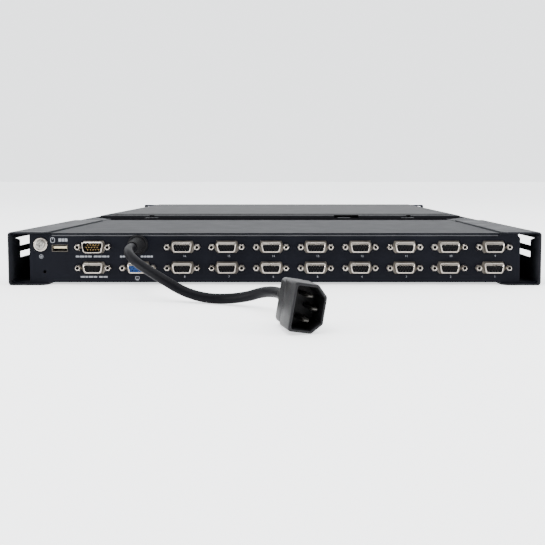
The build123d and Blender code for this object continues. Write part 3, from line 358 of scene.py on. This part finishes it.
bm = bmesh.new()
for port_x, z in ALL_PORTS:
    for side in (-1, 1):
        x = port_x + side * SCREW_X
        steps = [(HEX_REACH, PANEL_Y, 1), (HEX_REACH, 343.6, 1), (2.4, 343.9, 0.1), (1.85, 344.9, 0),
                 (1.6, 344.98, 0), (1.4, 344.8, 0)]
        skin(bm, [post_ring(x, z, *step) for step in steps])
        rings = []
        for k in range(THREAD_TURNS):
            rings += [post_ring(x, z, 1.4, 344.8 - k * THREAD_PITCH),
                      post_ring(x, z, 1.25, 344.55 - k * THREAD_PITCH)]
        skin(bm, rings, cap_end=True, slot=1)
piece("jackscrew_posts", finish_mesh(bm, "jackscrew_posts", 35), [NICKEL, THREAD_SHADE], "frame", ["jackscrews"])

# ground washer: flat ring with a turned step and a rolled edge
GROUND_X, GROUND_Z = 195.4, 33.7
bm = bmesh.new()
steps = [(5.8, PANEL_Y), (5.8, 340.5), (5.6, 340.82), (5.25, 340.9), (4.9, 340.86), (4.75, 340.66),
         (4.4, 340.62), (4.2, 340.86), (3.9, 340.9), (2.3, 340.88)]
skin(bm, [rear(circle(radius, 48), GROUND_X, y, GROUND_Z) for radius, y in steps], cap_start=True)
piece("ground_washer_ring", finish_mesh(bm, "ground_washer_ring", 45), NICKEL, "frame", ["ground_washer"])

# hem along the top of the rear panel, under the cover's lip; its rounded bend catches the light, and its
# colour is a lighter, coated copy of the panel's black, a painted highlight
HEM_X, HEM_STEPS = 186.0, 8
bm = bmesh.new()
profile = [(340.02 + 0.5 * sin(pi * k / HEM_STEPS), 41.3 + 0.6 * cos(pi * k / HEM_STEPS))
           for k in range(HEM_STEPS + 1)]
profile = [(339.9, 41.9)] + profile + [(339.9, 40.7)]
skin(bm, [[(x, y, z) for y, z in profile] for x in (-HEM_X, HEM_X)], True, True)
piece("panel_hem", finish_mesh(bm, "panel_hem"), HEM, "frame")


# matte black band on the cover's front edge, painted shade standing for the gap there, and the strip over the
# lid's hinges
def slab(bm, x, y, z, soft=0.3):
    """Low plate with rounded corners and a soft upper edge."""
    wide, deep = x[1] - x[0], y[1] - y[0]
    middle = ((x[0] + x[1]) / 2, (y[0] + y[1]) / 2)
    levels = [(0, z[0]), (0, z[1] - soft * 0.5), (soft * 0.6, z[1] - soft * 0.15), (soft * 1.6, z[1])]
    skin(bm, [flat(box_outline(wide - cut, deep - cut, 1.5), *middle, level) for cut, level in levels],
         cap_end=True)


# the painted shade band steps back where the cover is notched for the knuckles and the ribbon
SHADE_BAND_REAR, SHADE_BAND_Z = 149.5, (43.2, 43.7)
bm = bmesh.new()
for left, right in ((-186.5, -154.5), (-139.5, -81.5), (-66.5, 139.5), (154.5, 186.5)):
    slab(bm, (left, right), (110.6, SHADE_BAND_REAR), SHADE_BAND_Z)
for left, right in ((-155, -139), (-82, -66), (139, 155)):
    slab(bm, (left, right), (117, SHADE_BAND_REAR), SHADE_BAND_Z)
piece("cover_front_shade_band", finish_mesh(bm, "cover_front_shade_band"), MATTE, "frame")
bm = bmesh.new()
slab(bm, (-215.5, 215.5), (28, 63.3), (44.25, 44.4), 0.1)
piece("hinge_cover", finish_mesh(bm, "hinge_cover"), STRIP, "lid")


# ---------------------------------------------------------------- printed marks on the panel
PRINT_Y = PANEL_Y + 0.03
CAP_TO_SIZE = 1.4  # font size over the height of its figures


def text_mesh(bm, words, place, size, right, up):
    """Flat lettering of height size, centred at place."""
    font = bpy.data.curves.new("lettering", "FONT")
    font.body, font.size, font.align_x, font.align_y = words, size * CAP_TO_SIZE, "CENTER", "CENTER"
    font.resolution_u = 2
    holder = bpy.data.objects.new("lettering", font)
    mesh = bpy.data.meshes.new_from_object(holder)
    start = len(bm.verts)
    bm.from_mesh(mesh)
    bm.verts.ensure_lookup_table()
    for vert in bm.verts[start:]:
        u, v = vert.co.x, vert.co.y
        vert.co = (Vector(place) + Vector(right) * u + Vector(up) * v) * MM
    bpy.data.objects.remove(holder)
    bpy.data.meshes.remove(mesh)
    bpy.data.curves.remove(font)


def patch(bm, x, z, wide, high):
    """Thin printed rectangle on the rear panel."""
    corners = [(x - wide / 2, PRINT_Y, z - high / 2), (x + wide / 2, PRINT_Y, z - high / 2),
               (x + wide / 2, PRINT_Y, z + high / 2), (x - wide / 2, PRINT_Y, z + high / 2)]
    bm.faces.new([bm.verts.new(Vector(corner) * MM) for corner in corners])


def outline_patch(bm, x, z, wide, high, line, radius):
    """Printed frame with round corners and a line of even width."""
    outer = box_outline(wide, high, radius)
    inner = box_outline(wide - 2 * line, high - 2 * line, max(0.1, radius - line))
    skin(bm, [rear(outer, x, PRINT_Y, z), rear(inner, x, PRINT_Y, z)])


def dashes(bm, left, right, z, high, pattern):
    """Broken bar that stands for a printed word, drawn from the photo's left to right."""
    x, unit = left, (left - right) / sum(pattern)
    for i, share in enumerate(pattern):
        if i % 2 == 0:
            patch(bm, x - share * unit / 2, z, share * unit, high)
        x -= share * unit


bm = bmesh.new()
for i, x in enumerate(COLUMNS):
    for number, z in ((16 - i, 23.9), (8 - i, 6.6)):
        text_mesh(bm, str(number), (x - 1.7, PRINT_Y, z), 1.8, (-1, 0, 0), (0, 0, 1))
dashes(bm, 166.2, 138.4, 23.6, 1.4, [5, 1, 7, 1, 4, 1, 6, 3, 6, 1, 5, 1, 7, 1, 3])
dashes(bm, 162.5, 140, 6.5, 1.3, [6, 1, 4, 1, 6, 1, 5, 3, 5, 1, 6])
dashes(bm, 129.3, 123.4, 23.6, 1.4, [4, 1, 5, 1, 3])
dashes(bm, 112, 102, 23.6, 1.4, [5, 1, 4, 1, 6, 1, 4])
dashes(bm, 180.5, 173, 37.4, 2.6, [5, 1, 4, 1, 5])
# mouse sign
outline_patch(bm, 185.4, 37.4, 3.8, 4.8, 0.55, 1.6)
patch(bm, 185.4, 38.6, 0.5, 1.8)
# screen sign
outline_patch(bm, 115, 5.6, 3.6, 2.4, 0.4, 0.4)
patch(bm, 115, 3.9, 2.2, 0.5)
# ground sign
outline_patch(bm, 195.1, 23.6, 3.4, 3.4, 0.35, 1.6)
for k, wide in enumerate((2.0, 1.3, 0.6)):
    patch(bm, 195.1, 23.6 - k * 0.5, wide, 0.28)
patch(bm, 195.1, 24.4, 0.28, 1.3)
piece("panel_print", finish_mesh(bm, "panel_print"), PRINT, "frame", smooth=False)

# ---------------------------------------------------------------- keyboard
KEY_PITCH, KEY_GAP, KEYS_LEFT, KEYS_FRONT = 19.05, 2.0, -194.6, -194.0
# widths of the keys of the main block in key pitches, from the rear row on; a minus is a gap
ROWS = [
    [1, -1, 1, 1, 1, 1, -0.5, 1, 1, 1, 1, -0.5, 1, 1, 1, 1], [1] * 13 + [2], [1.5] + [1] * 12 + [1.5],
    [1.75] + [1] * 11, [2.25] + [1] * 10 + [1.75, 1], [1.25] * 3 + [-5.25] + [1] * 6,
]
# left edges of the column beside the main block and of the number pad
NAV = KEYS_LEFT + 15 * KEY_PITCH + 4
PAD = NAV + KEY_PITCH + 4
PAD_ROWS = ([1] * 4, [1] * 4, [1] * 3, [1] * 3, [1] * 3, [2, 1])
DIGIT_HIGH, DIGIT_Z = 3.4, 22.42
keys = []


def add_key(left, row, wide, rows=1):
    """Notes a key by its middle and its size; rows are counted from the rear."""
    keys.append((left + wide * KEY_PITCH / 2, KEYS_FRONT + (5 - row + rows / 2) * KEY_PITCH,
                 wide * KEY_PITCH - KEY_GAP, rows * KEY_PITCH - KEY_GAP))


for row, widths in enumerate(ROWS):
    left = KEYS_LEFT
    for wide in widths:
        if wide > 0:
            add_key(left, row, wide)
        left += abs(wide) * KEY_PITCH
    add_key(NAV, row, 1)
for row, widths in enumerate(PAD_ROWS):
    left = PAD
    for wide in widths:
        add_key(left, row, wide)
        left += wide * KEY_PITCH
add_key(PAD + 3 * KEY_PITCH, 3, 1, 2)
add_key(PAD + 3 * KEY_PITCH, 5, 1, 2)


def key_cap(bm, x, y, wide, deep):
    """Dished cap with soft edges; the dish runs across long caps."""
    levels = [(0, 15.4, 1.2), (0.5, 16.6, 1.3), (2.3, 21.2, 1.9), (2.9, 22.15, 2.0), (3.6, 22.5, 2.0),
              (4.6, 22.58, 1.9), (7.0, 22.35, 1.6), (10.0, 22.12, 1.2), (13.4, 22.0, 0.7)]
    skin(bm, [flat(box_outline(wide - cut, deep - cut, radius, 4), x, y, z) for cut, z, radius in levels],
         cap_end=True)


bm = bmesh.new()
for key in keys:
    key_cap(bm, *key)
piece("key_cap_set", finish_mesh(bm, "key_cap_set", 50), KEYS, "drawer", ["key_caps"])
for name, x, row, wide in (("enter_key", 15 - 2.25 / 2, 2.5, 2.25),
                           ("space_bar", 3.75 + 5.25 / 2, 0.5, 5.25)):
    bm = bmesh.new()
    key_cap(bm, KEYS_LEFT + x * KEY_PITCH, KEYS_FRONT + row * KEY_PITCH, wide * KEY_PITCH - KEY_GAP,
            KEY_PITCH - KEY_GAP)
    piece(name + "_cap", finish_mesh(bm, name, 50), KEYS, name, [name])

# deck webs between the groups of the top row
WEB_Y, WEB_Z = (KEYS_FRONT + 5 * KEY_PITCH + 0.6, KEYS_FRONT + 6 * KEY_PITCH - 0.6), (15.8, 17.8)
bm = bmesh.new()
for start, wide in ((1, 1), (6, 0.5), (10.5, 0.5)):
    left = KEYS_LEFT + start * KEY_PITCH
    slab(bm, (left + 0.4, left + wide * KEY_PITCH - 0.4), WEB_Y, WEB_Z)
piece("key_row_webs", finish_mesh(bm, "key_row_webs"), DECK, "drawer")


def key_number(bm, number, left, columns, rows):
    """Number in the rear left corner of a key.

    The key's middle is columns and rows, in key pitches, from left and from the keyboard's front.
    """
    place = (left + columns * KEY_PITCH - 2.4, KEYS_FRONT + rows * KEY_PITCH + 2.6, DIGIT_Z)
    text_mesh(bm, str(number), place, DIGIT_HIGH, (1, 0, 0), (0, 1, 0))


bm = bmesh.new()
for k in range(10):
    key_number(bm, (k + 1) % 10, KEYS_LEFT, k + 1.5, 4.5)
for k in range(1, 10):
    key_number(bm, k, PAD, (k - 1) % 3 + 0.5, (k - 1) // 3 + 1.5)
key_number(bm, 0, PAD, 0.5, 0.5)
piece("key_numbers", finish_mesh(bm, "key_numbers"), PRINT, "drawer", smooth=False)

# ribbon cable behind the drawer: moulded wires side by side, folded at rest
NEAR_Y, FAR_Y, RIBBON_Z, WAVE_HIGH, WAVES, STEPS = 64.4, 111.6, 13.8, 5.5, 6, 144
RIBBON_LEFT, RIBBON_WIDE, WIRES = -92, 24, 20
bm = bmesh.new()
line_points = []
for k in range(STEPS + 1):
    t = k / STEPS
    swell = min(1, 8 * t, 8 * (1 - t))
    line_points.append(Vector((0, NEAR_Y + (FAR_Y - NEAR_Y) * t,
                               RIBBON_Z + WAVE_HIGH * swell * sin(2 * pi * WAVES * t))))
rings = []
for k, point in enumerate(line_points):
    along = (line_points[min(k + 1, STEPS)] - line_points[max(k - 1, 0)]).normalized()
    up = Vector((0, -along.z, along.y))
    ring = []
    for side in (1, -1):
        for j in range(2 * WIRES + 1):
            x = RIBBON_LEFT + RIBBON_WIDE * (j if side > 0 else 2 * WIRES - j) / (2 * WIRES)
            ring.append(point + Vector((x, 0, 0)) + up * side * (0.3 if j % 2 else 0.16))
    rings.append(ring)
skin(bm, rings, cap_start=True, cap_end=True)
ribbon = piece("ribbon_cable", finish_mesh(bm, "ribbon_cable", 50), RIBBON, None, ["drawer_ribbon"])
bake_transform(ribbon)

# ---------------------------------------------------------------- power cord, gland and plug
ROUTE = [
    (114.18, 363, 33.4), (114.18, 384, 33.4), (102.2, 404.7, 26.1), (82.3, 418.6, 17), (56.3, 428, 3.8),
    (24, 438.5, 3.8), (-1.2, 460.4, 14.8), (-9.1, 486.2, 14.8),
]
CORD_D, CORD_SIDES, TWIST, LOBE_DEPTH = 7.4, 48, 0.05, 0.03
curve = bpy.data.curves.new("cord_line", "CURVE")
curve.dimensions = "3D"
curve.resolution_u = 24
spline = curve.splines.new("NURBS")
spline.points.add(len(ROUTE) - 1)
for point, place in zip(spline.points, ROUTE):
    point.co = (*(value * MM for value in place), 1)
spline.order_u = 3
spline.use_endpoint_u = True
holder = bpy.data.objects.new("cord_line", curve)
line_mesh = bpy.data.meshes.new_from_object(holder)
line = [vert.co.copy() for vert in line_mesh.vertices]
bpy.data.objects.remove(holder)

# jacket: three shallow lobes that twist slowly along the cord
bm = bmesh.new()
loops, side, travelled = [], Vector((0, 0, 1)), 0.0
for i, place in enumerate(line):
    along = (line[min(i + 1, len(line) - 1)] - line[max(i - 1, 0)]).normalized()
    side = (side - along * side.dot(along)).normalized()
    across = along.cross(side)
    if i:
        travelled += (place - line[i - 1]).length
    ring = []
    for k in range(CORD_SIDES):
        angle = 2 * pi * k / CORD_SIDES
        lobes = 0.5 - 0.5 * cos(3 * (angle + travelled / MM * TWIST))
        radius = CORD_D / 2 * MM * (1 - LOBE_DEPTH * lobes ** 2)
        ring.append(bm.verts.new(place + (side * cos(angle) + across * sin(angle)) * radius))
    loops.append(ring)
for first, second in zip(loops, loops[1:]):
    for k in range(CORD_SIDES):
        j = (k + 1) % CORD_SIDES
        bm.faces.new((first[k], first[j], second[j], second[k]))
bm.faces.new(loops[0])
bm.faces.new(loops[-1])
cord = piece("power_cord_jacket", finish_mesh(bm, "power_cord_jacket", 60), CORD, "frame", ["power_cord"])

# gland: domed collar on the panel
GLAND_X, GLAND_Z = 114.18, 33.4
bm = bmesh.new()
steps = [(8.4, PANEL_Y), (8.4, 341.2), (8.15, 342.0), (7.5, 342.7), (6.9, 342.95), (6.3, 342.9), (5.6, 342.6)]
skin(bm, [rear(circle(radius, 48), GLAND_X, y, GLAND_Z) for radius, y in steps], True, True)
piece("gland_collar", finish_mesh(bm, "gland_collar", 50), PLASTIC, "frame", ["cord_gland"])


def ribbed(start, end, near, far, ribs):
    """Radii along a strain relief that tapers from near to far, with rounded ribs."""
    steps = []
    for k in range(ribs):
        for share, lift in ((0.0, -0.55), (0.12, -0.1), (0.2, 0.0), (0.62, 0.0), (0.7, -0.1), (0.82, -0.55)):
            t = (k + share) / ribs
            steps.append((near + (far - near) * t + lift, start + (end - start) * t))
    return steps


# boot: ribbed strain relief behind the gland
bm = bmesh.new()
steps = [(6.2, 342.4)] + ribbed(343.0, 362.4, 6.6, 4.75, 7) + [(4.6, 362.6), (4.5, 363.0), (3.72, 363.2)]
skin(bm, [rear(circle(radius, 40), GLAND_X, y, GLAND_Z) for radius, y in steps], True, True)
boot = piece("cord_boot_ribbed", finish_mesh(bm, "cord_boot_ribbed", 50), PLASTIC, "frame", ["cord_boot"])

# plug: ribbed relief, grip body and open shroud, turned a little about the cord's direction OUT.
# EARTH points from the plug's middle to its earth blade, and TALL along its long side.
PLUG_ROLL = radians(10)
END = Vector(ROUTE[-1])
OUT = (END - Vector(ROUTE[-2])).normalized()
ACROSS = OUT.cross(Vector((0, 0, -1)))
EARTH = ACROSS * cos(PLUG_ROLL) - Vector((0, 0, 1)) * sin(PLUG_ROLL)
TALL = OUT.cross(EARTH)
PLUG_TALL, PLUG_DEEP, PLUG_CUT = 28.4, 20.4, 6.2


def on_plug(outline, distance):
    """2D outline placed across the plug, at a distance from the end of the cord."""
    return [END + EARTH * u + TALL * v + OUT * distance for u, v in outline]


def plug_outline(tall, deep, cut, radius):
    """Rounded rectangle with two corners cut off on the earth side."""
    return rounded([(-deep / 2, -tall / 2), (deep / 2 - cut, -tall / 2), (deep / 2, -tall / 2 + cut),
                    (deep / 2, tall / 2 - cut), (deep / 2 - cut, tall / 2), (-deep / 2, tall / 2)], radius, 5)


bm = bmesh.new()
steps = [(3.72, -0.2), (4.4, 0.0), (4.6, 0.4)] + ribbed(0.6, 17.4, 4.7, 6.5, 6) + [(6.6, 18.4)]
skin(bm, [on_plug(circle(radius, 40), w) for radius, w in steps], True, True)
body = [(9.0, 17.6, 3.0), (5.4, 17.9, 3.0), (3.2, 18.6, 2.8), (2.0, 19.8, 2.6), (1.6, 21.5, 2.4),
        (1.6, 29.6, 2.4), (1.7, 30.0, 2.4), (2.6, 30.5, 2.2), (2.6, 31.4, 2.2), (1.0, 32.0, 2.0),
        (0.3, 32.4, 2.0), (0.0, 33.0, 2.0), (0.0, 50.0, 1.8), (0.25, 50.6, 1.8), (0.9, 50.95, 1.7),
        (2.4, 51.0, 1.5), (3.2, 50.8, 1.3), (3.6, 50.2, 1.2), (3.8, 34.2, 1.2)]
rings = [on_plug(plug_outline(PLUG_TALL - cut, PLUG_DEEP - cut, PLUG_CUT - cut * 0.22, radius), w)
         for cut, w, radius in body]
loops = skin(bm, rings, True, True)
# the shroud's rim takes a lighter copy of the plug's black, a painted highlight
RIM_RINGS = slice(13, 17)
rim = {vert for loop in loops[RIM_RINGS] for vert in loop}
for face in bm.faces:
    if rim.issuperset(face.verts):
        face.material_index = 1
plug = piece("plug_shell", finish_mesh(bm, "plug_shell", 45), [PLUG, RIM_HIGHLIGHT], "frame", ["plug_body"])

# plug blades: flat bars with chamfered tips, coloured a near-black metal, painted shade inside the shroud
bm = bmesh.new()
for u, v in ((0.0, 7.0), (0.0, -7.0), (4.0, 0.0)):
    bar = [(0, 34.0), (0, 48.2), (0.16, 48.6), (1.1, 49.85), (1.3, 50.0)]
    skin(bm, [on_plug([(u + x, v + y) for x, y in box_outline(4.0 - cut, 2.0 - cut, 0.3)], w)
              for cut, w in bar], True, True)
blades = piece("plug_blades", finish_mesh(bm, "plug_blades", 40), SHADED_PIN, "frame", ["plug_pins"])

# ---------------------------------------------------------------- stage, lights and camera
floor_mesh = bpy.data.meshes.new("floor")
floor_bm = bmesh.new()
bmesh.ops.create_grid(floor_bm, x_segments=1, y_segments=1, size=20)
floor_bm.to_mesh(floor_mesh)
floor_bm.free()
floor = bpy.data.objects.new("floor", floor_mesh)
bpy.context.scene.collection.objects.link(floor)
floor_mat = bpy.data.materials.new("pale_floor")
floor_mat.use_nodes = True
table = floor_mat.node_tree.nodes["Principled BSDF"]
table.inputs["Base Color"].default_value = (0.9, 0.9, 0.9, 1)
table.inputs["Roughness"].default_value = 0.7
table.inputs["Emission Color"].default_value = (0.97, 0.98, 1.0, 1)
table.inputs["Emission Strength"].default_value = 1.1
floor_mesh.materials.append(floor_mat)

# studio light that is strong from the front of the object (-Y) and weak from the rear (+Y)
world = bpy.data.worlds.new("studio")
world.use_nodes = True
tree = world.node_tree
sky = tree.nodes.new("ShaderNodeTexCoord")
split = tree.nodes.new("ShaderNodeSeparateXYZ")
tree.links.new(sky.outputs["Generated"], split.inputs["Vector"])
shade = tree.nodes.new("ShaderNodeMapRange")
shade.interpolation_type = "SMOOTHSTEP"
for socket, value in (("From Min", 0.1), ("From Max", 0.85), ("To Min", 2.55), ("To Max", 0.2)):
    shade.inputs[socket].default_value = value
tree.links.new(split.outputs["Y"], shade.inputs["Value"])
tree.links.new(shade.outputs["Result"], tree.nodes["Background"].inputs["Strength"])
tree.nodes["Background"].inputs["Color"].default_value = (0.96, 0.98, 1.0, 1)
bpy.context.scene.world = world


def softbox(name, place, aim, size, watts):
    """Rectangular area light at place, turned to aim."""
    light = bpy.data.lights.new(name, "AREA")
    light.shape = "RECTANGLE"
    light.size, light.size_y = size
    light.energy = watts
    obj = bpy.data.objects.new(name, light)
    bpy.context.scene.collection.objects.link(obj)
    obj.location = place
    obj.rotation_euler = (Vector(aim) - Vector(place)).to_track_quat("-Z", "Y").to_euler()


softbox("key_light", (0.5, 1.1, 1.9), (0, 0.3, 0), (1.2, 0.8), 24)
softbox("top_light", (0, 0.2, 1.8), (0, 0.1, 0), (2.0, 1.6), 26)
softbox("left_fill", (1.5, 0.75, 0.3), (-0.2, 0.33, 0.03), (0.5, 0.5), 26)
softbox("right_fill", (-1.5, 0.75, 0.3), (0.2, 0.33, 0.03), (0.5, 0.5), 26)

# the photo's perspective: a focal length of 721 pixels for a frame of 545, and a view 3.6 degrees downwards
FOCAL_PIXELS, FRAME_PIXELS, SENSOR, DOWN = 721, 545, 36, radians(3.6)
camera = bpy.data.cameras.new("camera")
camera.sensor_width = SENSOR
camera.lens = FOCAL_PIXELS / FRAME_PIXELS * SENSOR
camera.shift_x = -0.0365
camera.shift_y = -0.0885
camera.clip_start = 0.02
view = bpy.data.objects.new("camera", camera)
bpy.context.scene.collection.objects.link(view)
view.location = (-0.0147, 0.9395, 0.0883)
view.rotation_mode = "QUATERNION"
view.rotation_quaternion = Vector((0, -1, -tan(DOWN))).to_track_quat("-Z", "Y")
bpy.context.scene.camera = view
